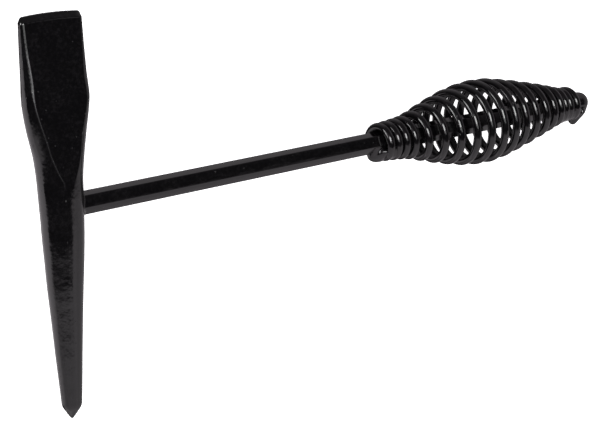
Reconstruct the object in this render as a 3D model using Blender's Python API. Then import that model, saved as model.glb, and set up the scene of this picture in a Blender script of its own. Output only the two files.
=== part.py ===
"""Chipping hammer: a forged chisel-and-pick head on a hexagonal bar with a coil-spring grip.

The hammer lies on its side, on the belly of its spring. +X runs along the bar from the head
to the end of the grip, +Y from the pick to the chisel edge, and +Z is up, square to the
chisel's broad faces. Lengths below are in millimetres, from the point where the head's axis
crosses the bar's; to_metres() turns them into the script's metres.
"""

import math

import bpy

# Head, along Y
EDGE_Y = 73.5            # the chisel's edge
POINT_Y = -86.9          # the pick's point
EDGE_CROWN = 0.5         # how far the edge bows out between its corners
# (y, half-width along X, half-thickness along Z of the forged oval)
BLADE_OVALS = ((71.3, 12.2, 4.9), (60, 12.5, 5.4), (50, 12.7, 5.9), (42, 12.9, 6.5), (36, 12.0, 7.0),
               (28, 10.6, 7.55), (20, 9.3, 8.0), (12, 8.45, 8.25), (4, 8.25, 8.25), (-6, 8.05, 8.05))
# (y, height of the ground broad faces above the middle plane)
BROAD_FACES = ((71.3, 2.0), (30, 5.0), (9, 8.4))
EDGE_BEVEL = ((72.3, 1.65, 12.0), (73.0, 1.15, 11.6), (73.5, 0.6, 11.0))   # (y, half-thickness, half-width)
PICK_ROOT = (-6, 8.05)   # (y, radius) where the pick's taper starts
PICK_NECK = (-81.2, 3.85)  # where its conical point starts
PICK_TIP_R = 0.45
SIDE_STEPS = 10          # facets round each narrow side
FACE_STEPS = 6           # facets across each broad face
CORNER_ANGLE_MAX = math.radians(72)

# Eye and bar, along X
BAR_FLATS = 8.0          # across the hexagon's flats
BAR_TURN = math.radians(6.8)   # the flats are this far from square to the head
BAR_CORNER = 0.35        # chamfer on the hexagon's corners
BAR_START_X = -3.0
BAR_END_X = 277.9
BAR_DOME = ((274.6, 1.0), (276.2, 0.9), (277.2, 0.7), (277.9, 0.35))   # (x, share of the full section)
EYE_R = 4.9              # blind hole in the head
EYE_BOTTOM_X = -3.4
EYE_WELD_X = (8.0, 9.6)  # the fillet's foot on the head and its end on the bar
EYE_WELD_R = (6.0, 5.1)

# Grip, along X
WIRE_D = 3.5
# (turns from the wire's start, x, radius of the wire's centre line)
GRIP_STATIONS = ((0, 150.1, 6.5), (2, 158.3, 7.0), (4, 167.3, 8.2), (6, 181.3, 12.3), (8, 196.6, 15.9),
                 (10, 211.6, 17.3), (12, 226.7, 14.6), (14, 242.5, 11.0), (16, 254.3, 7.9),
                 (17.5, 260.2, 6.55), (19, 266.6, 6.5))
POINTS_PER_TURN = 20
WIRE_SIDES_RESOLUTION = 2

# Weld beads under the bar: (x, centre y, half-height along Y, half-width along Z)
FRONT_BEAD = ((145.6, -5.3, 0.9, 1.2), (146.3, -5.4, 2.4, 3.2), (147.3, -5.5, 2.9, 4.1), (148.1, -5.5, 3.0, 4.3))
REAR_BEAD = ((268.7, -6.2, 3.0, 4.2), (270.0, -6.5, 3.6, 4.1), (271.8, -6.9, 3.8, 3.8), (274.0, -6.3, 3.4, 3.5),
             (276.6, -5.1, 2.3, 2.8), (278.2, -4.1, 1.0, 1.4))
BEAD_SIDES = 16

GAP = 0.15               # between welded neighbours, which would otherwise overlap
MM = 0.001
# The middle of the hammer's footprint, where it lies, from the crossing of the two axes
BELLY_R = 17.3 + WIRE_D / 2
FOOTPRINT = ((-12.9 + BAR_END_X) / 2, (EDGE_Y + POINT_Y) / 2, -BELLY_R)

GLOSS_BLACK = (0.012, 0.012, 0.013, 1.0)


def to_metres(points):
    return [tuple((c - o) * MM for c, o in zip(p, FOOTPRINT)) for p in points]


def between(stations, at, column=1):
    """A smooth curve through stations sorted by their first value, read at one place."""
    rows = sorted(stations)
    keys = [row[0] for row in rows]
    values = [row[column] for row in rows]
    last = len(rows) - 1
    slopes = []
    for i in range(last + 1):
        lo, hi = max(i - 1, 0), min(i + 1, last)
        slopes.append((values[hi] - values[lo]) / (keys[hi] - keys[lo]))
    at = min(max(at, keys[0]), keys[last])
    i = max(k for k in range(last) if keys[k] <= at)
    span = keys[i + 1] - keys[i]
    u = (at - keys[i]) / span
    return (
        (1 + 2 * u) * (1 - u) ** 2 * values[i]
        + u * (1 - u) ** 2 * span * slopes[i]
        + u * u * (3 - 2 * u) * values[i + 1]
        + u * u * (u - 1) * span * slopes[i + 1]
    )


def straight(stations, at):
    """Straight lines through stations sorted by their first value, read at one place."""
    rows = sorted(stations)
    at = min(max(at, rows[0][0]), rows[-1][0])
    for (a, p), (b, q) in zip(rows, rows[1:]):
        if at <= b:
            return p + (q - p) * (at - a) / (b - a)
    return rows[-1][1]


def paint(name, roughness):
    material = bpy.data.materials.new(name)
    material.use_nodes = True
    shader = material.node_tree.nodes["Principled BSDF"]
    shader.inputs["Base Color"].default_value = GLOSS_BLACK
    shader.inputs["Roughness"].default_value = roughness
    shader.inputs["Metallic"].default_value = 0.0
    return material


def loft(name, rings, material=None, smooth_deg=30):
    """One closed solid through rings of points that match one to one, with a cap on each end."""
    count = len(rings[0])
    points = [p for ring in rings for p in ring]
    faces = []
    for k in range(len(rings) - 1):
        a, b = k * count, (k + 1) * count
        for i in range(count):
            j = (i + 1) % count
            faces.append((a + i, a + j, b + j, b + i))
    faces.append(tuple(reversed(range(count))))
    faces.append(tuple(range(len(points) - count, len(points))))
    mesh = bpy.data.meshes.new(name)
    mesh.from_pydata(to_metres(points), [], faces)
    if signed_volume(mesh) < 0:
        mesh.flip_normals()
    mesh.shade_smooth()
    mesh.set_sharp_from_angle(angle=math.radians(smooth_deg))
    piece = bpy.data.objects.new(name, mesh)
    bpy.context.scene.collection.objects.link(piece)
    if material:
        mesh.materials.append(material)
    return piece


def signed_volume(mesh):
    total = 0.0
    for face in mesh.polygons:
        corners = [mesh.vertices[v].co for v in face.vertices]
        for b, c in zip(corners[1:], corners[2:]):
            total += corners[0].dot(b.cross(c))
    return total


def hide_cutter(cutter):
    cutter.hide_render = True
    cutter.display_type = "WIRE"


def cut(piece, cutter):
    hide_cutter(cutter)
    change = piece.modifiers.new("cut_" + cutter.name, "BOOLEAN")
    change.operation = "DIFFERENCE"
    change.solver = "EXACT"
    change.object = cutter


def oval_ring(y, width, thickness, face, crown=0.0):
    """A forged oval across the head at y, cut flat at +-face, starting at the narrow side's middle."""
    corner = min(math.asin(min(face / thickness, 1.0)), CORNER_ANGLE_MAX)
    angles = []
    for half in range(2):
        start = half * math.pi - corner
        angles += [start + 2 * corner * i / SIDE_STEPS for i in range(SIDE_STEPS)]
        flat = math.pi - 2 * corner
        start = half * math.pi + corner
        angles += [start + flat * i / FACE_STEPS for i in range(FACE_STEPS)]
    ring = []
    for angle in angles:
        x = width * math.cos(angle)
        z = max(-face, min(face, thickness * math.sin(angle)))
        ring.append((x, y - crown * (x / width) ** 2, z))
    return ring


def head_rings():
    rings = []
    for y, thickness, width in reversed(EDGE_BEVEL):
        rings.append(oval_ring(y, width, 2.45 * thickness, thickness, EDGE_CROWN))
    blade = [71.3, 67, 62, 57, 52, 47, 44, 42, 40, 37, 34, 31, 28, 25, 22, 19, 16, 13, 10, 7, 3, -2]
    for y in blade:
        width, thickness = between(BLADE_OVALS, y), between(BLADE_OVALS, y, 2)
        crown = EDGE_CROWN * max(0.0, (y - 60) / 13)
        rings.append(oval_ring(y, width, thickness, straight(BROAD_FACES, y), crown))
    for y in (-6, -15, -30, -45, -60, -75, PICK_NECK[0]):
        radius = straight((PICK_ROOT, PICK_NECK), y)
        rings.append(oval_ring(y, radius, radius, 2 * radius))
    cone = PICK_NECK[1] / (PICK_NECK[0] - POINT_Y)
    for y, radius in ((POINT_Y + PICK_TIP_R / cone, PICK_TIP_R), (POINT_Y, 0.15)):
        rings.append(oval_ring(y, radius, radius, 2 * radius))
    return rings


def around_x(x, radius, sides):
    return [
        (x, radius * math.cos(math.tau * i / sides), radius * math.sin(math.tau * i / sides))
        for i in range(sides)
    ]


def bar_ring(x, share=1.0, extra=0.0):
    """The bar's section at x: a hexagon with chamfered corners, flats facing +-Y before BAR_TURN."""
    apothem = BAR_FLATS / 2 * share + extra
    half_flat = apothem * math.tan(math.pi / 6) - BAR_CORNER * share
    ring = []
    for side in range(6):
        middle = math.pi / 2 + side * math.pi / 3 - BAR_TURN
        for along in (-half_flat, half_flat):
            y = apothem * math.sin(middle) + along * math.cos(middle)
            z = apothem * math.cos(middle) - along * math.sin(middle)
            ring.append((x, y, z))
    return ring


def make_head(material):
    head = loft("head_forging", head_rings(), material, 25)
    eye = loft("eye_cutter", [around_x(EYE_BOTTOM_X, EYE_R, 24), around_x(20, EYE_R, 24)])
    cut(head, eye)
    return head


def make_bar(material):
    rings = [bar_ring(BAR_START_X)]
    rings += [bar_ring(x, share) for x, share in BAR_DOME]
    return loft("hex_shank", rings, material, 25)


def bar_cutter(name, start, end):
    return loft(name, [bar_ring(start, 1.0, GAP), bar_ring(end, 1.0, GAP)])


def make_eye_weld(material):
    foot, end = EYE_WELD_X
    rings = [around_x(foot - 3, EYE_WELD_R[0], 32), around_x(foot, EYE_WELD_R[0], 32)]
    rings.append(around_x(end, EYE_WELD_R[1], 32))
    weld = loft("eye_weld", rings, material)
    cut(weld, bar_cutter("eye_weld_bar_cutter", foot - 5, end + 2))
    body = [[(r * math.cos(math.tau * i / 48), y, r * math.sin(math.tau * i / 48)) for i in range(48)]
            for y, r in ((-12, straight((PICK_ROOT, PICK_NECK), -12) + GAP), (-6, 8.05 + GAP), (4, 8.25 + GAP),
                         (12, 8.45 + GAP))]
    cut(weld, loft("eye_weld_head_cutter", body))
    return weld


def make_grip(material):
    """One round wire, wound right-handed from its start under the bar."""
    turns = GRIP_STATIONS[-1][0]
    count = turns * POINTS_PER_TURN + 1
    points = []
    for i in range(count):
        turn = i / POINTS_PER_TURN
        x = between(GRIP_STATIONS, turn)
        radius = between(GRIP_STATIONS, turn, 2)
        angle = math.tau * turn
        points.append((x, -radius * math.cos(angle), -radius * math.sin(angle)))
    curve = bpy.data.curves.new("spring_grip", "CURVE")
    curve.dimensions = "3D"
    curve.bevel_depth = WIRE_D / 2 * MM
    curve.bevel_resolution = WIRE_SIDES_RESOLUTION
    curve.resolution_u = 1
    curve.use_fill_caps = True
    spline = curve.splines.new("POLY")
    spline.points.add(count - 1)
    for target, point in zip(spline.points, to_metres(points)):
        target.co = (*point, 1.0)
    spline.use_smooth = True
    curve.materials.append(material)
    grip = bpy.data.objects.new("spring_grip", curve)
    bpy.context.scene.collection.objects.link(grip)
    return grip


def make_bead(name, stations, material):
    rings = []
    for x, centre, height, width in stations:
        rings.append([
            (x, centre + height * math.cos(math.tau * i / BEAD_SIDES), width * math.sin(math.tau * i / BEAD_SIDES))
            for i in range(BEAD_SIDES)
        ])
    bead = loft(name, rings, material, 50)
    cut(bead, bar_cutter(name + "_bar_cutter", stations[0][0] - 5, stations[-1][0] + 5))
    return bead


def main():
    for leftover in list(bpy.data.objects):
        bpy.data.objects.remove(leftover, do_unlink=True)
    hammer = bpy.data.objects.new("hammer", None)
    bpy.context.scene.collection.objects.link(hammer)
    weld_paint = paint("weld_paint", 0.25)
    pieces = [
        make_head(paint("head_paint", 0.18)),
        make_bar(paint("bar_paint", 0.2)),
        make_grip(paint("grip_paint", 0.15)),
        make_eye_weld(weld_paint),
        make_bead("front_grip_weld", FRONT_BEAD, weld_paint),
        make_bead("rear_grip_weld", REAR_BEAD, weld_paint),
    ]
    for piece in pieces:
        piece.parent = hammer


main()
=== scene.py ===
"""The looks of the chipping hammer: its forged head, bar, spring and welds under gloss black enamel.

Lengths are in millimetres from the point where the head's axis crosses the bar's, with +X along
the bar to the grip, +Y towards the chisel edge and +Z up; place() turns them into the frame's metres.
"""

import math

import bmesh
import bpy
from mathutils import Matrix, Vector, noise


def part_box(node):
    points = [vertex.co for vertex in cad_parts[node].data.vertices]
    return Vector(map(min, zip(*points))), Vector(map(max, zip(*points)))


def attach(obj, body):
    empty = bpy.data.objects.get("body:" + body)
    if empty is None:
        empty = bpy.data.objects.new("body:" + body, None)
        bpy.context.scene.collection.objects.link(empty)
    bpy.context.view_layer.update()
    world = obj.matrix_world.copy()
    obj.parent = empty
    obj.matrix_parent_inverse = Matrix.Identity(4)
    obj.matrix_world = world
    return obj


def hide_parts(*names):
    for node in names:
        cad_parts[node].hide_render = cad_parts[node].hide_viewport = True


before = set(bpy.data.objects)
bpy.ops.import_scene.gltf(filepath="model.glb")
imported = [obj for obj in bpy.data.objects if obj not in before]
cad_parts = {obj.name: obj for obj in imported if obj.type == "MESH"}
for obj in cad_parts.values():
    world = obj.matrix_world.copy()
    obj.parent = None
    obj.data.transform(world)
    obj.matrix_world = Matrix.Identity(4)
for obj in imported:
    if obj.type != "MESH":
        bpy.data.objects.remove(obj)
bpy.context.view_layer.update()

MM = 0.001

# Head, along Y
POINT_Y = -86.9
EDGE_CROWN = 0.5           # how far the edge's ends fall behind its middle
CROWN_FROM, CROWN_REACH = 60, 13    # the crown grows from this y, over this length
# (y, half-width along X, half-thickness along Z of the forged oval, how square it is: 2 for an ellipse)
BLADE_OVALS = ((71.3, 12.3, 3.4, 2.9), (60, 12.5, 4.2, 2.9), (50, 12.72, 5.15, 2.8), (42, 13.02, 6.4, 2.62),
               (36, 12.5, 6.95, 2.38), (28, 11.25, 7.45, 2.12), (20, 9.7, 7.95, 2.1), (12, 8.85, 8.2, 2),
               (4, 8.5, 8.3, 2), (-6, 8.17, 8.17, 2))
# (y, radius of the round pick)
PICK_RADII = ((-6, 8.17), (-12, 8.0), (-22, 7.49), (-32, 6.93), (-45, 6.1), (-60, 5.25), (-72, 4.54),
              (-80.4, 4.03))
# (y, radius of the pick's ground point)
POINT_RADII = (PICK_RADII[-1], (-81.2, 3.86), (-82.1, 3.5), (-83.1, 2.9), (-85.0, 1.72), (-86.5, 0.75))
POINT_STEPS = 24
TIP_ROUND = 0.9            # radius of the ball at its tip
TIP_STEPS = 6
# (y, how far the forging wanders from its straight axis along X)
HEAD_BEND = ((72, -0.42), (60, -0.32), (50, -0.12), (42, 0.16), (30, -0.02), (20, 0.16), (12, 0.08),
             (4, 0.14), (-5, 0.25), (-20, 0.18), (-32, -0.03), (-60, -0.05), (-75, 0.06), (-81, 0.04),
             (-87, -0.16))
# (y, height of the ground broad faces above the middle plane)
BROAD_FACES = ((71.3, 2.0), (60, 2.85), (50, 3.83), (42, 4.65), (36, 5.2), (28, 5.9), (22, 6.45), (9, 8.4))
# (y, half-thickness, half-width) of the bevel that makes the edge
EDGE_BEVEL = ((71.6, 1.87, 12.2), (73.0, 1.0, 11.75), (73.3, 0.8, 11.5), (73.45, 0.55, 11.25),
              (73.5, 0.25, 11.05))
BEVEL_OVAL = 1.65          # how many times as thick the oval is that the bevel is ground from
# (y, how far the paint rounds the corner of a ground face)
CORNER_SOFTNESS = ((9, 0.06), (35, 0.06), (50, 0.07), (60, 0.13), (71.3, 0.19))
CORNER_BEADS = (26, 35)    # the stretch of that corner where the paint has gathered in beads
BEAD_SWELL = 4.5           # how much rounder they make it
BEADS_PER_MM = 0.9
BEAD_PATTERN = 3.0         # which noise places them
# (y, how strong the painted highlight is along the corner on the -X side: a lighter colour standing in for
# the lamp's reflection there)
PAINTED_HIGHLIGHT_SHARE = ((9, 0.0), (13, 0.1), (30, 0.1), (36, 0.2), (44, 0.4), (52, 0.55), (57, 0.7), (62, 0.0))
# how far that painted highlight spreads from the corner, in mm
PAINTED_HIGHLIGHT_WIDTH = 0.2
CORNER_ANGLE_MAX = math.radians(76)
SIDE_STEPS = 44
FACE_STEPS = 44
RING_SPACING = 0.6

# Bar, along X
BAR_FLATS = 8.0
BAR_TURN = math.radians(6.8)
BAR_ROUND = 0.5            # radius on the hexagon's corners
CORNER_TURNS = range(-30, 31, 10)    # degrees round each of them
BAR_START_X = -3.0
BAR_END_X = 277.9
BAR_END_ROUND = 6.5        # length of the domed end
DOME_SPREAD = 1.06         # radius of the circle it ends in, compared with half the flats
DOME_TO_CIRCLE = 2.0       # how soon the hexagon becomes that circle
DOME_STEPS = 16
BAR_SPACING = 1.5
BAR_SAG = ((150, 0.0), (205, 0.33), (278, 0.33))    # (x, how far the bar sags from its straight axis)

# Grip, along X: (turns from the wire's start, x, radius of the wire's centre line)
WIRE_D = 3.62
GRIP_STATIONS = ((0, 150.2, 6.5), (2, 158.3, 7.1), (4, 167.3, 8.25), (6, 181.3, 12.35),
                 (8, 196.6, 16.05), (10, 211.6, 17.13), (12, 226.7, 14.7), (14, 242.9, 11.0),
                 (16, 255.1, 7.8), (17.5, 260.8, 6.45), (19, 267.0, 6.4))
WIRE_INSET = 0.002         # turns left off at each end
WIRE_CAP_ANGLES = (0, 20, 40, 60, 80)    # degrees round its rounded ends
START_CAP = 0.5            # depth of the first end's rounding, in wire radii
COIL_TALL = 1.008          # how much more each turn measures along Y than along Z
# (x, how far the coils hang off the bar's axis)
COIL_SAG = ((150, 0.25), (172, 0.2), (190, 0.0), (250, 0.0), (262, 0.3), (270, 0.33))
POINTS_PER_TURN = 72
TURN_STEP = 0.001          # turns either way, to find the wire's direction
WIRE_SIDES = 28

# Welds: lumps of metal as (centre, radii), two of them for the ledge and the bead, the stretch of
# bar they are drawn to as (from, to) along X, and the metal between the coils as (x, radius)
FRONT_BLOB = ((151.2, -5.6, 0.6), (5.7, 3.2, 3.0))
FRONT_LEDGE = (((150.5, -3.2, 4.6), (1.2, 1.2, 1.2)), ((151.75, -3.25, 5.45), (1.2, 1.2, 1.2)))
FRONT_ROOT = (146.4, 152)
FRONT_FILL = ((153.2, 8.25), (156.0, 8.45), (159.0, 8.65))
REAR_LOBE = ((269.2, -7.65, 1.0), (2.0, 3.3, 2.8))
REAR_NUB = ((273.5, -4.9, 2.7), (1.6, 1.5, 1.5))
REAR_BEAD = (((271.85, -3.65, 4.4), (1.2, 1.2, 1.2)), ((271.7, -4.45, 4.55), (1.2, 1.2, 1.2)))
REAR_ROOT = (266, 270)
REAR_DOME = ((272.8, -0.95, 0.1), (5.4, 5.1, 4.6))
REAR_FILL = ((254.0, 9.5), (261.0, 8.45), (268.5, 8.1))
FILL_ARC = (-40, 88)       # degrees it reaches round the bar, from its underside towards +Z
FILL_THIN_FROM = 42        # degrees where it starts to thin
FILL_THINNING = 1.3        # mm it has lost at its end
FILL_STEP = 6
ROOT_INSET = 0.12          # how far a weld's root lies under the bar's skin
LUMP_RINGS, LUMP_SIDES = 24, 32
WELD_VOXEL = 0.3
MELT_PASSES = 12
EYE_FILLET = 1.1           # leg of the fillet round the bar
EYE_RIPPLES = ((0.18, 3, 1.0), (0.1, 7, 0.0))    # (share of that leg, waves round the bar, phase)
EYE_SIDES, EYE_STEPS = 96, 8
BAR_BITE, HEAD_BITE = 0.08, 0.1    # how far its feet sink into the bar and the head
BAR_ROOT, HEAD_ROOT = 0.6, 0.9     # and its hidden root

# Paint
ENAMEL_BLACK = (0.002, 0.0019, 0.0022, 1)
DUST_COLOUR = (0.0072, 0.0066, 0.0074, 1)
SPECK_COLOUR = (0.02, 0.019, 0.02, 1)
# painted highlight: a pale colour laid along the blade's -X corner in place of the lamp's reflection
PAINTED_HIGHLIGHT_COLOUR = (0.13, 0.125, 0.13, 1)
ENAMEL_ROUGHNESS = (0.07, 0.16)    # it varies between these in patches
PAINTED_HIGHLIGHT_ROUGHNESS = 0.2       # added along the painted highlight
SPECK_CELL = 2.2           # at most one speck in each cell of this size
SPECK_RARITY = 0.86        # cells whose random shade is above this hold one
SPECK_REACH = (0.03, 0.16)    # a speck fades out between these distances, in cells
PATCH_SIZE = 9.0           # of the patches in the gloss and the dust
FILM_SIZE = 1.3            # of the mottling in the dust

# Camera and light, in metres
CAMERA_AT = Vector((-0.36505, 0.18107, 0.49181))
CAMERA_AHEAD = Vector((0.55516, -0.32179, -0.76698))
CAMERA_UP = Vector((0.18807, 0.94681, -0.26112))
CAMERA_LENS = 88.34        # mm, over a sensor 36 mm wide
FLOOR_SIZE = 6.0           # from its middle to its sides
FLOOR_DROP = 0.0002        # how far it lies under the hammer
FLOOR_MOTTLING = 40.0      # mm
FLOOR_COLOURS = ((0.8, 0.8, 0.8, 1), (0.84, 0.84, 0.84, 1))
WORLD_COLOUR = (1, 0.94, 0.985, 1)
BACKDROP_LIGHT = 1.2       # of what the camera sees behind the hammer
TABLE_LIGHT = 0.9
TABLE_EDGE = -0.475        # its height, as the sine of the angle it is seen at
EDGE_BLUR = 0.03
ROOM_LIGHT = 0.03
# changes round the table, in degrees round Y from +Z towards +X: (from, to, rise of its edge)
TABLE_EDGE_RISES = ((-10, 5, 0.02), (18, 32, 0.14), (32, 50, 0.04), (-60, -85, 0.02),
                    (-95, -105, 0.05), (-106, -121, 0.24), (-155, -165, -0.1))
# and (from, to, change of its light)
TABLE_SHADES = ((35, 65, -0.25), (65, 90, -0.17), (-50, -80, -0.12), (-98, -116, 0.37),
                (-128, -155, -0.25))
# soft patches of light and shadow in the room:
# (round it: from, full, fading, to), (the same in height), light
ROOM_PATCHES = (((42, 55, 95, 140), (-0.3, -0.2, 0.58, 0.78), 0.4),
                ((105, 150, 181, 182), (-0.1, 0.4, 1.1, 1.2), 0.35),
                ((-182, -181, -175, -110), (-0.1, 0.4, 1.1, 1.2), 0.3),
                ((-182, -181, 181, 182), (0.35, 0.7, 1.1, 1.2), 0.12),
                ((-105, -92, -50, -25), (-0.1, 0.1, 0.5, 0.65), 0.4),
                ((22, 28, 35, 40), (0.05, 0.12, 0.26, 0.32), 0.4),
                ((-182, -181, -135, -115), (-1.2, -1.1, -0.54, -0.48), -0.45),
                ((-182, -181, -135, -115), (-0.8, -0.64, -0.54, -0.48), -0.3),
                ((135, 150, 181, 182), (-1.2, -1.1, -0.5, -0.44), -0.45))
LAMP_TARGET = (211, 0, 0)    # the middle of the grip, in mm
LAMP_DISTANCE = 0.9
# (name, direction from the grip, width, height, radiance, roll in degrees)
LAMPS = (("near_lamp", (-0.53, 0.29, 0.79), 0.52, 0.31, 12.5, 15),
         ("low_lamp", (-0.46, 0.06, 0.86), 0.7, 0.2, 2.3, 0),
         ("left_lamp", (-0.95, 0.25, -0.05), 0.28, 0.40, 10.0, 0))

head_low, head_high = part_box("head_forging")
bar_low, bar_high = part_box("hex_shank")
CROSSING = Vector((
    (head_low.x + head_high.x) / 2,
    (bar_low.y + bar_high.y) / 2,
    (bar_low.z + bar_high.z) / 2,
))


def place(point):
    return CROSSING + Vector(point) * MM


def between(stations, at, column=1):
    """A smooth curve through stations sorted by their first value, read at one place."""
    rows = sorted(stations)
    keys = [row[0] for row in rows]
    values = [row[column] for row in rows]
    last = len(rows) - 1
    at = min(max(at, keys[0]), keys[last])
    i = max(k for k in range(last) if keys[k] <= at)

    def slope(k):
        lo, hi = max(k - 1, 0), min(k + 1, last)
        return (values[hi] - values[lo]) / (keys[hi] - keys[lo])

    span = keys[i + 1] - keys[i]
    u = (at - keys[i]) / span
    return (
        (1 + 2 * u) * (1 - u) ** 2 * values[i]
        + u * (1 - u) ** 2 * span * slope(i)
        + u * u * (3 - 2 * u) * values[i + 1]
        + u * u * (u - 1) * span * slope(i + 1)
    )


def straight(stations, at):
    """Straight lines through stations sorted by their first value, read at one place."""
    rows = sorted(stations)
    at = min(max(at, rows[0][0]), rows[-1][0])
    for (a, p), (b, q) in zip(rows, rows[1:]):
        if at <= b:
            return p + (q - p) * (at - a) / (b - a)
    return rows[-1][1]


def steps(start, end, count):
    return [start + (end - start) * i / count for i in range(count)]


# ---------------------------------------------------------------- materials

class Nodes:
    """Short calls for building one node tree."""

    def __init__(self, tree):
        self.tree = tree

    def link(self, value, socket):
        if isinstance(value, bpy.types.NodeSocket):
            self.tree.links.new(value, socket)
        else:
            socket.default_value = value

    def node(self, kind, **settings):
        made = self.tree.nodes.new(kind)
        for key, value in settings.items():
            setattr(made, key, value)
        return made

    def position(self):
        return self.node("ShaderNodeTexCoord").outputs["Object"]

    def noise(self, where, size, detail=3.0, rough=0.5):
        made = self.node("ShaderNodeTexNoise")
        self.link(where, made.inputs["Vector"])
        made.inputs["Scale"].default_value = 1 / (size * MM)
        made.inputs["Detail"].default_value = detail
        made.inputs["Roughness"].default_value = rough
        return made.outputs["Fac"]

    def cells(self, where, size):
        made = self.node("ShaderNodeTexVoronoi")
        self.link(where, made.inputs["Vector"])
        made.inputs["Scale"].default_value = 1 / (size * MM)
        return made.outputs["Distance"], made.outputs["Color"]

    def stretch(self, where, by):
        made = self.node("ShaderNodeVectorMath", operation="MULTIPLY")
        self.link(where, made.inputs[0])
        made.inputs[1].default_value = by
        return made.outputs["Vector"]

    def span(self, value, low, high, to_low=0.0, to_high=1.0):
        made = self.node("ShaderNodeMapRange", interpolation_type="SMOOTHSTEP")
        names = ("Value", "From Min", "From Max", "To Min", "To Max")
        for key, given in zip(names, (value, low, high, to_low, to_high)):
            self.link(given, made.inputs[key])
        return made.outputs["Result"]

    def plateau(self, value, places):
        """0 to 1 between the first two places and back to 0 between the last two."""
        rise = self.span(value, places[0], places[1])
        return self.math("MULTIPLY", rise, self.span(value, places[2], places[3], 1.0, 0.0))

    def math(self, operation, first, second):
        made = self.node("ShaderNodeMath", operation=operation)
        self.link(first, made.inputs[0])
        self.link(second, made.inputs[1])
        return made.outputs["Value"]

    def blend(self, share, first, second):
        made = self.node("ShaderNodeMix", data_type="RGBA")
        self.link(share, made.inputs["Factor"])
        self.link(first, made.inputs["A"])
        self.link(second, made.inputs["B"])
        return made.outputs["Result"]

    def bump(self, height, distance, normal=None):
        made = self.node("ShaderNodeBump")
        self.link(height, made.inputs["Height"])
        made.inputs["Distance"].default_value = distance * MM
        made.inputs["Strength"].default_value = 1.0
        if normal is not None:
            self.link(normal, made.inputs["Normal"])
        return made.outputs["Normal"]


def new_material(name):
    material = bpy.data.materials.new(name)
    material.use_nodes = True
    n = Nodes(material.node_tree)
    return material, n, material.node_tree.nodes["Principled BSDF"]


def specks(n, where):
    """Dust caught in the paint: 1 on a speck, 0 between them."""
    distance, cell_colour = n.cells(where, SPECK_CELL)
    split = n.node("ShaderNodeSeparateColor")
    n.link(cell_colour, split.inputs["Color"])
    chosen = n.math("GREATER_THAN", split.outputs["Red"], SPECK_RARITY)
    return n.math("MULTIPLY", n.span(distance, *SPECK_REACH, 1.0, 0.0), chosen)


def enamel_colour(n, where, patches, speck):
    """Black, with a patchy film of dust and paler specks."""
    film = n.span(n.noise(where, FILM_SIZE, 3.0, 0.7), 0.42, 0.75)
    dust = n.math("MULTIPLY", film, n.span(patches, 0.3, 0.65, 0.3, 1.0))
    return n.blend(n.math("MULTIPLY", speck, 0.5), n.blend(dust, ENAMEL_BLACK, DUST_COLOUR), SPECK_COLOUR)


def enamel(name, peel=(1.1, 0.03), swell=(5.0, 0.12), grain=(1, 1, 1), nibs=0.1, highlight_attribute=None):
    """Gloss black enamel. peel and swell are (size, depth) in mm of its orange peel and of the metal's
    own unevenness under it, grain draws both out along an axis, and nibs is the height of its dust specks.
    Its last argument names the mesh attribute that marks a painted highlight: lighter colour laid along a
    corner where the lamp's reflection should be."""
    material, n, shader = new_material(name)
    where = n.position()
    drawn = n.stretch(where, grain)
    swelling = n.bump(n.noise(drawn, swell[0], 2.0), swell[1])
    peeling = n.bump(n.noise(drawn, peel[0], 3.0, 0.55), peel[1], swelling)
    speck = specks(n, where)
    n.link(n.bump(speck, nibs, peeling), shader.inputs["Normal"])
    patches = n.noise(where, PATCH_SIZE, 4.0, 0.6)
    roughness = n.span(patches, 0.3, 0.7, *ENAMEL_ROUGHNESS)
    paint = enamel_colour(n, where, patches, speck)
    if highlight_attribute:
        # painted highlight: blend towards a pale colour where the attribute marks it
        painted_highlight = n.node("ShaderNodeAttribute", attribute_name=highlight_attribute).outputs["Fac"]
        paint = n.blend(painted_highlight, paint, PAINTED_HIGHLIGHT_COLOUR)
        roughness = n.math("ADD", roughness, n.math("MULTIPLY", painted_highlight, PAINTED_HIGHLIGHT_ROUGHNESS))
    n.link(paint, shader.inputs["Base Color"])
    n.link(roughness, shader.inputs["Roughness"])
    shader.inputs["Metallic"].default_value = 0.0
    shader.inputs["IOR"].default_value = 1.5
    return material


# ---------------------------------------------------------------- meshes

def skin(name, rings, material, capped=True, looped=False, smooth_deg=180):
    """One mesh through rings of points that match one to one."""
    count = len(rings[0])
    points = [place(p) for ring in rings for p in ring]
    faces = []
    for k in range(len(rings) if looped else len(rings) - 1):
        a, b = k * count, (k + 1) % len(rings) * count
        for i in range(count):
            j = (i + 1) % count
            faces.append((a + i, a + j, b + j, b + i))
    if capped:
        faces.append(tuple(reversed(range(count))))
        faces.append(tuple(range(len(points) - count, len(points))))
    mesh = bpy.data.meshes.new(name)
    mesh.from_pydata(points, [], faces)
    return finish_piece(name, mesh, material, smooth_deg)


def finish_piece(name, mesh, material, smooth_deg=180):
    if signed_volume(mesh) < 0:
        mesh.flip_normals()
    mesh.shade_smooth()
    if smooth_deg < 180:
        mesh.set_sharp_from_angle(angle=math.radians(smooth_deg))
    mesh.materials.append(material)
    piece = bpy.data.objects.new(name, mesh)
    bpy.context.scene.collection.objects.link(piece)
    return piece


def signed_volume(mesh):
    total = 0.0
    for face in mesh.polygons:
        corners = [mesh.vertices[v].co for v in face.vertices]
        for b, c in zip(corners[1:], corners[2:]):
            total += corners[0].dot(b.cross(c))
    return total


def stand_for(piece, node):
    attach(piece, "root")
    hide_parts(node)


# ---------------------------------------------------------------- head

def soft_cap(height, face, softness):
    """height, held under face with a rounded corner."""
    if height > face + 20 * softness:    # so far past the corner that the ground face is flat
        return face
    return -softness * math.log(math.exp(-height / softness) + math.exp(-face / softness))


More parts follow.
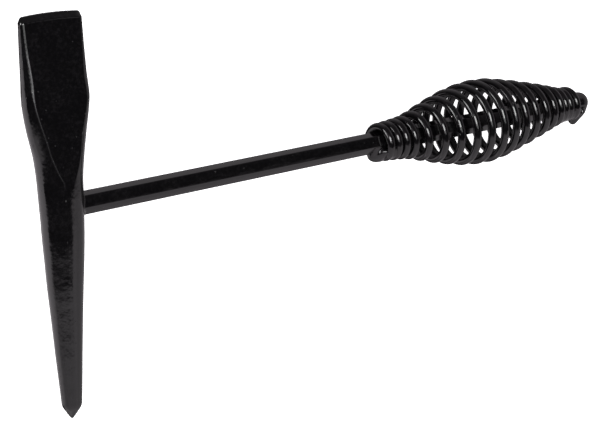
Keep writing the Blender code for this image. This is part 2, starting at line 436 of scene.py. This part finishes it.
def corner_softness(y):
    softness = straight(CORNER_SOFTNESS, y)
    if CORNER_BEADS[0] < y < CORNER_BEADS[1]:
        bead = noise.noise(Vector((0.0, y * BEADS_PER_MM, BEAD_PATTERN)))
        softness *= 1.0 + BEAD_SWELL * max(0.0, bead)
    return softness


def bunched(start, end, count):
    """Steps from start to end, closer together near both ends."""
    return [start + (end - start) * (0.5 - 0.5 * math.cos(math.pi * i / count)) for i in range(count)]


def oval_ring(y, width, thickness, face, crown=0.0, square=2.0):
    """A forged oval across the head at y, ground flat at +-face, and a painted highlight along its -X
    corner.
    """
    corner = min(math.asin(min(face / thickness, 1.0) ** (square / 2)), CORNER_ANGLE_MAX)
    angles = []
    for half in (0, math.pi):
        angles += bunched(half - corner, half + corner, SIDE_STEPS)
        angles += bunched(half + corner, half + math.pi - corner, FACE_STEPS)
    softness = corner_softness(y)
    ring, painted_highlight = [], []
    for angle in angles:
        x = math.copysign(width * abs(math.cos(angle)) ** (2 / square), math.cos(angle))
        rise = thickness * abs(math.sin(angle)) ** (2 / square)
        z = math.copysign(soft_cap(rise, face, softness), math.sin(angle))
        ring.append((x + straight(HEAD_BEND, y), y - crown * (x / width) ** 2, z))
        # painted highlight: a lighter band along the -X corner, in place of the lamp's reflection
        from_corner = (x + width * math.cos(corner) ** (2 / square)) / PAINTED_HIGHLIGHT_WIDTH
        painted_highlight.append(math.exp(-from_corner ** 2) * straight(PAINTED_HIGHLIGHT_SHARE, y))
    return ring, painted_highlight


def head_rings():
    rings = []
    for y, thickness, width in reversed(EDGE_BEVEL):
        rings.append(oval_ring(y, width, BEVEL_OVAL * thickness, thickness, EDGE_CROWN, BLADE_OVALS[0][3]))
    top, bottom = BLADE_OVALS[0][0], BLADE_OVALS[-1][0]
    for y in steps(top, bottom, round((top - bottom) / RING_SPACING)):
        crown = EDGE_CROWN * max(0.0, (y - CROWN_FROM) / CROWN_REACH)
        width, thickness, square = [between(BLADE_OVALS, y, column) for column in (1, 2, 3)]
        rings.append(oval_ring(y, width, thickness, between(BROAD_FACES, y), crown, square))
    neck = PICK_RADII[-1][0]
    for y in steps(bottom, neck, round((bottom - neck) / RING_SPACING)):
        radius = between(PICK_RADII, y)
        rings.append(oval_ring(y, radius, radius, 2 * radius))
    return rings + point_rings()


def point_rings():
    """The pick's ground cone, with its rounded tip."""
    start, end = POINT_RADII[0][0], POINT_RADII[-1][0]
    profile = [(y, between(POINT_RADII, y)) for y in steps(start, end, POINT_STEPS)]
    centre = POINT_Y + TIP_ROUND
    for angle in steps(math.asin((centre - end) / TIP_ROUND), math.pi / 2, TIP_STEPS):
        profile.append((centre - TIP_ROUND * math.sin(angle), TIP_ROUND * math.cos(angle)))
    return [oval_ring(y, radius, radius, 2 * radius) for y, radius in profile]


def make_head():
    sections = head_rings()
    rings = [ring for ring, painted_highlight in sections]
    head = skin("forged_head", rings, enamel("head_enamel", nibs=0.06, highlight_attribute="painted_highlight"), smooth_deg=60)
    # store the painted highlight along the blade's corner as a mesh attribute
    marks = head.data.attributes.new("painted_highlight", "FLOAT", "POINT")
    marks.data.foreach_set("value", [share for ring, painted_highlight in sections for share in painted_highlight])
    stand_for(head, "head_forging")


# ---------------------------------------------------------------- bar

def bar_section(apothem, rounding, sag=0.0):
    """Points (y, z) round the hexagon, its corners rounded, its axis sag mm below the straight line."""
    points = []
    reach = (apothem - rounding) / math.cos(math.pi / 6)
    for corner in range(6):
        middle = math.pi / 2 + math.pi / 6 + corner * math.pi / 3 - BAR_TURN
        centre = (reach * math.sin(middle), reach * math.cos(middle))
        for turn in CORNER_TURNS:
            angle = middle + math.radians(turn)
            y, z = centre[0] + rounding * math.sin(angle), centre[1] + rounding * math.cos(angle)
            points.append((y - sag, z))
    return points


def domed_section(share, roundness):
    """The bar's section shrunk to a share of its size, its hexagon turned into a circle by roundness."""
    radius = BAR_FLATS / 2 * DOME_SPREAD
    points = []
    for y, z in bar_section(BAR_FLATS / 2, BAR_ROUND):
        reach = math.hypot(y, z)
        scale = share * (reach + (radius - reach) * roundness) / reach
        points.append((y * scale, z * scale))
    return points


def make_bar():
    rings = []
    count = round((BAR_END_X - BAR_START_X) / BAR_SPACING)
    for x in steps(BAR_START_X, BAR_END_X - BAR_END_ROUND, count):
        section = bar_section(BAR_FLATS / 2, BAR_ROUND, between(BAR_SAG, x))
        rings.append([(x, y, z) for y, z in section])
    for angle in steps(0.0, math.pi / 2, DOME_STEPS):
        share = math.cos(angle)
        x = BAR_END_X - BAR_END_ROUND * (1 - math.sin(angle))
        section = domed_section(share, min(1.0, DOME_TO_CIRCLE * math.sin(angle)))
        rings.append([(x, y - BAR_SAG[-1][1], z) for y, z in section])
    bar = skin("hexagonal_bar", rings, enamel("bar_enamel", grain=(0.25, 1, 1)), smooth_deg=60)
    stand_for(bar, "hex_shank")


# ---------------------------------------------------------------- spring

def wire_point(turn):
    x, radius = between(GRIP_STATIONS, turn), between(GRIP_STATIONS, turn, 2)
    angle = math.tau * turn
    y = -radius * COIL_TALL * math.cos(angle) - between(COIL_SAG, x)
    return Vector((x, y, -radius * math.sin(angle)))


def wire_ring(turn, radius, ahead=0.0):
    """A ring of the wire's skin, ahead mm further along it."""
    centre = wire_point(turn)
    along = (wire_point(turn + TURN_STEP) - wire_point(turn - TURN_STEP)).normalized()
    out = Vector((0, centre.y, centre.z)).normalized()
    out = (out - along * out.dot(along)).normalized()
    side = along.cross(out)
    ring = []
    for i in range(WIRE_SIDES):
        angle = math.tau * i / WIRE_SIDES
        ring.append(centre + along * ahead + (out * math.cos(angle) + side * math.sin(angle)) * radius)
    return ring


def make_spring():
    start, end = GRIP_STATIONS[0][0] + WIRE_INSET, GRIP_STATIONS[-1][0] - WIRE_INSET
    radius = WIRE_D / 2
    caps = []
    for angle in map(math.radians, WIRE_CAP_ANGLES):
        caps.append((radius * math.cos(angle), radius * math.sin(angle)))
    rings = [wire_ring(start, r, -START_CAP * depth) for r, depth in reversed(caps[1:])]
    count = round((end - start) * POINTS_PER_TURN)
    rings += [wire_ring(turn, radius) for turn in steps(start, end, count)]
    rings += [wire_ring(end, r, depth) for r, depth in caps]
    spring = skin("spring_wire", rings, enamel("wire_enamel", peel=(1.4, 0.02), swell=(6.0, 0.05)))
    stand_for(spring, "spring_grip")


# ---------------------------------------------------------------- welds

def lump_rings(centre, radii):
    rings = []
    for i in range(1, LUMP_RINGS):
        tilt = math.pi * i / LUMP_RINGS
        ring = []
        for k in range(LUMP_SIDES):
            angle = math.tau * k / LUMP_SIDES
            ring.append((centre[0] - radii[0] * math.cos(tilt),
                         centre[1] + radii[1] * math.sin(tilt) * math.cos(angle),
                         centre[2] + radii[2] * math.sin(tilt) * math.sin(angle)))
        rings.append(ring)
    return rings


def hull_solid(points):
    """Points and faces of the tight skin round points."""
    shape = bmesh.new()
    for point in points:
        shape.verts.new(point)
    bmesh.ops.convex_hull(shape, input=shape.verts)
    shape.verts.index_update()
    corners = [tuple(v.co) for v in shape.verts]
    faces = [tuple(v.index for v in face.verts) for face in shape.faces]
    shape.free()
    return corners, faces


def melt(name, solids, material):
    """Closed shapes run together into one skin, its creases filled, as molten metal leaves them."""
    points, faces = [], []
    for more_points, more_faces in solids:
        start = len(points)
        points += [place(p) for p in more_points]
        faces += [tuple(start + i for i in face) for face in more_faces]
    mesh = bpy.data.meshes.new(name + "_shapes")
    mesh.from_pydata(points, [], faces)
    raw = bpy.data.objects.new(name + "_shapes", mesh)
    bpy.context.scene.collection.objects.link(raw)
    remesh = raw.modifiers.new("remesh", "REMESH")
    remesh.mode = "VOXEL"
    remesh.voxel_size = WELD_VOXEL * MM
    smooth = raw.modifiers.new("smooth", "SMOOTH")
    smooth.factor = 0.5
    smooth.iterations = MELT_PASSES
    bpy.context.view_layer.update()
    melted = bpy.data.meshes.new_from_object(raw.evaluated_get(bpy.context.evaluated_depsgraph_get()))
    melted.name = name
    bpy.data.objects.remove(raw)
    return finish_piece(name, melted, material)


def bar_piece(start, end):
    section = bar_section(BAR_FLATS / 2 - ROOT_INSET, BAR_ROUND)
    return [[(x, y, z) for y, z in section] for x in (start, (start + end) / 2, end)]


def fill_arc(x, radius):
    """An arc of the metal that fills the grooves between wires, thinner the further it reaches up."""
    arc = []
    start, end = FILL_ARC
    for angle in range(start, end, FILL_STEP):
        thinned = max(0.0, (angle - FILL_THIN_FROM) / (end - FILL_THIN_FROM)) ** 1.5
        shrunk = radius - FILL_THINNING * thinned
        turn = math.radians(angle)
        arc.append((x, -shrunk * math.cos(turn), shrunk * math.sin(turn)))
    return arc


def fills(stations):
    return [hull_solid(fill_arc(*a) + fill_arc(*b)) for a, b in zip(stations, stations[1:])]


def drawn_together(*groups):
    """The tight skin round several sets of rings."""
    return hull_solid([p for rings in groups for ring in rings for p in ring])


def make_grip_welds(material):
    blob = lump_rings(*FRONT_BLOB)
    ledge = [lump_rings(*lump) for lump in FRONT_LEDGE]
    solids = [drawn_together(blob, bar_piece(*FRONT_ROOT)), drawn_together(blob, *ledge)]
    front = melt("front_weld", solids + fills(FRONT_FILL), material)
    stand_for(front, "front_grip_weld")
    lobe, nub, dome = [lump_rings(*lump) for lump in (REAR_LOBE, REAR_NUB, REAR_DOME)]
    bead = [lump_rings(*lump) for lump in REAR_BEAD]
    solids = [drawn_together(lobe, nub, dome, bar_piece(*REAR_ROOT)), drawn_together(*bead)]
    rear = melt("rear_weld", solids + fills(REAR_FILL), material)
    stand_for(rear, "rear_grip_weld")


def head_surface_x(y, z):
    """x of the head's right side at (y, z), in the round stretch where the bar enters it."""
    if y < PICK_RADII[0][0]:
        width = thickness = between(PICK_RADII, y)
    else:
        width, thickness = between(BLADE_OVALS, y), between(BLADE_OVALS, y, 2)
    return width * math.sqrt(max(0.0, 1 - (z / thickness) ** 2)) + straight(HEAD_BEND, y)


def eye_ring(angle):
    """The fillet's section at an angle from +Y towards +Z: its hollow face, then its hidden root."""
    across, up = math.cos(angle), math.sin(angle)
    bar_r = hexagon_reach(angle) - BAR_BITE
    ripple = sum(share * math.sin(waves * angle + phase) for share, waves, phase in EYE_RIPPLES)
    leg = EYE_FILLET * (1 + ripple)
    profile = []
    for step in range(EYE_STEPS + 1):
        turn = math.pi / 2 * step / EYE_STEPS
        radius = bar_r + leg * (1 - math.sin(turn))
        foot = head_surface_x(across * radius, up * radius) - HEAD_BITE
        profile.append((foot + leg * (1 - math.cos(turn)), radius))
    inner, outer = bar_r - BAR_ROOT, bar_r + leg
    profile.append((profile[-1][0], inner))
    profile.append((head_surface_x(across * inner, up * inner) - HEAD_ROOT, inner))
    profile.append((head_surface_x(across * outer, up * outer) - HEAD_ROOT, outer))
    return [(x, across * radius, up * radius) for x, radius in profile]


def make_eye_weld(material):
    """The thin fillet round the bar where it enters the head."""
    rings = [eye_ring(math.tau * k / EYE_SIDES) for k in range(EYE_SIDES)]
    weld = skin("eye_fillet", rings, material, capped=False, looped=True, smooth_deg=50)
    stand_for(weld, "eye_weld")


def hexagon_reach(angle):
    """Distance from the bar's axis to its skin, in the direction angle from +Y towards +Z."""
    from_middle = (BAR_TURN - angle) % (math.pi / 3)    # from the middle of a flat, one of six
    if from_middle > math.pi / 6:
        from_middle -= math.pi / 3
    return min(BAR_FLATS / 2 / math.cos(from_middle), BAR_FLATS / 2 / math.cos(math.pi / 6) - BAR_BITE)


# ---------------------------------------------------------------- studio

def make_camera():
    data = bpy.data.cameras.new("camera")
    data.sensor_width = 36.0
    data.lens = CAMERA_LENS
    data.clip_start, data.clip_end = 0.01, 20.0
    camera = bpy.data.objects.new("camera", data)
    right = CAMERA_AHEAD.cross(CAMERA_UP).normalized()
    up = right.cross(CAMERA_AHEAD).normalized()
    turn = Matrix((right, up, -CAMERA_AHEAD.normalized())).transposed()
    camera.matrix_world = Matrix.Translation(CAMERA_AT) @ turn.to_4x4()
    bpy.context.scene.collection.objects.link(camera)
    bpy.context.scene.camera = camera


def make_floor():
    mesh = bpy.data.meshes.new("floor")
    corners = [(x * FLOOR_SIZE, y * FLOOR_SIZE, 0) for x, y in ((-1, -1), (1, -1), (1, 1), (-1, 1))]
    mesh.from_pydata(corners, [], [(0, 1, 2, 3)])
    material, n, shader = new_material("floor_white")
    speckle = n.noise(n.position(), FLOOR_MOTTLING, 2.0)
    n.link(n.blend(speckle, *FLOOR_COLOURS), shader.inputs["Base Color"])
    shader.inputs["Roughness"].default_value = 0.8
    shader.inputs["Specular IOR Level"].default_value = 0.0
    shader.inputs["Emission Color"].default_value = (1, 1, 1, 1)
    shader.inputs["Emission Strength"].default_value = 1.0
    mesh.materials.append(material)
    floor = bpy.data.objects.new("floor", mesh)
    floor.location.z = -FLOOR_DROP
    floor.visible_glossy = False
    floor.visible_diffuse = False
    bpy.context.scene.collection.objects.link(floor)


def softbox(name, at, towards, width, height, brightness, roll=0.0):
    """A lit rectangle, its height along +Y. brightness is its radiance, where the floor's is about 1."""
    data = bpy.data.lights.new(name, "AREA")
    data.shape = "RECTANGLE"
    data.size, data.size_y = width, height
    data.energy = brightness * math.pi * width * height
    lamp = bpy.data.objects.new(name, data)
    back = (at - towards).normalized()
    right = Vector((0, 1, 0)).cross(back).normalized()
    turn = Matrix((right, back.cross(right), back)).transposed().to_4x4()
    lamp.matrix_world = Matrix.Translation(at) @ turn @ Matrix.Rotation(math.radians(roll), 4, "Z")
    lamp.visible_camera = False
    bpy.context.scene.collection.objects.link(lamp)


def room_light(n):
    """A dim room round a pale table whose edge, seen from the object, rises and falls round it."""
    split = n.node("ShaderNodeSeparateXYZ")
    n.link(n.node("ShaderNodeTexCoord").outputs["Generated"], split.inputs["Vector"])
    across, height, towards = split.outputs["X"], split.outputs["Y"], split.outputs["Z"]
    round_about = n.math("MULTIPLY", n.math("ARCTAN2", across, towards), 180 / math.pi)
    edge = TABLE_EDGE
    for start, end, rise in TABLE_EDGE_RISES:
        edge = n.math("ADD", edge, n.span(round_about, start, end, 0.0, rise))
    shade = TABLE_LIGHT
    for start, end, change in TABLE_SHADES:
        shade = n.math("ADD", shade, n.span(round_about, start, end, 0.0, change))
    light = n.span(n.math("SUBTRACT", height, edge), -EDGE_BLUR, EDGE_BLUR, shade, ROOM_LIGHT)
    for across_wall, up_wall, strength in ROOM_PATCHES:
        patch = n.math("MULTIPLY", n.plateau(round_about, across_wall), n.plateau(height, up_wall))
        light = n.math("ADD", light, n.math("MULTIPLY", patch, strength))
    return n.math("MAXIMUM", light, 0.0)


def make_world():
    """Lights the hammer with the room; the camera sees even white in its place."""
    world = bpy.data.worlds.new("studio")
    bpy.context.scene.world = world
    world.use_nodes = True
    world.node_tree.nodes.clear()
    n = Nodes(world.node_tree)
    seen = n.node("ShaderNodeLightPath").outputs["Is Camera Ray"]
    light = n.math("MAXIMUM", room_light(n), n.math("MULTIPLY", seen, BACKDROP_LIGHT))
    background = n.node("ShaderNodeBackground")
    n.link(light, background.inputs["Strength"])
    background.inputs["Color"].default_value = WORLD_COLOUR
    n.link(background.outputs["Background"], n.node("ShaderNodeOutputWorld").inputs["Surface"])


def make_lights():
    grip = place(LAMP_TARGET)
    for name, towards, width, height, brightness, roll in LAMPS:
        at = grip + Vector(towards).normalized() * LAMP_DISTANCE
        softbox(name, at, grip, width, height, brightness, roll)


def main():
    bpy.context.scene.view_settings.view_transform = "Standard"
    make_camera()
    make_floor()
    make_world()
    make_lights()
    weld_enamel = enamel("weld_enamel", peel=(0.9, 0.03), swell=(2.2, 0.09))
    make_head()
    make_bar()
    make_spring()
    make_eye_weld(weld_enamel)
    make_grip_welds(weld_enamel)


main()
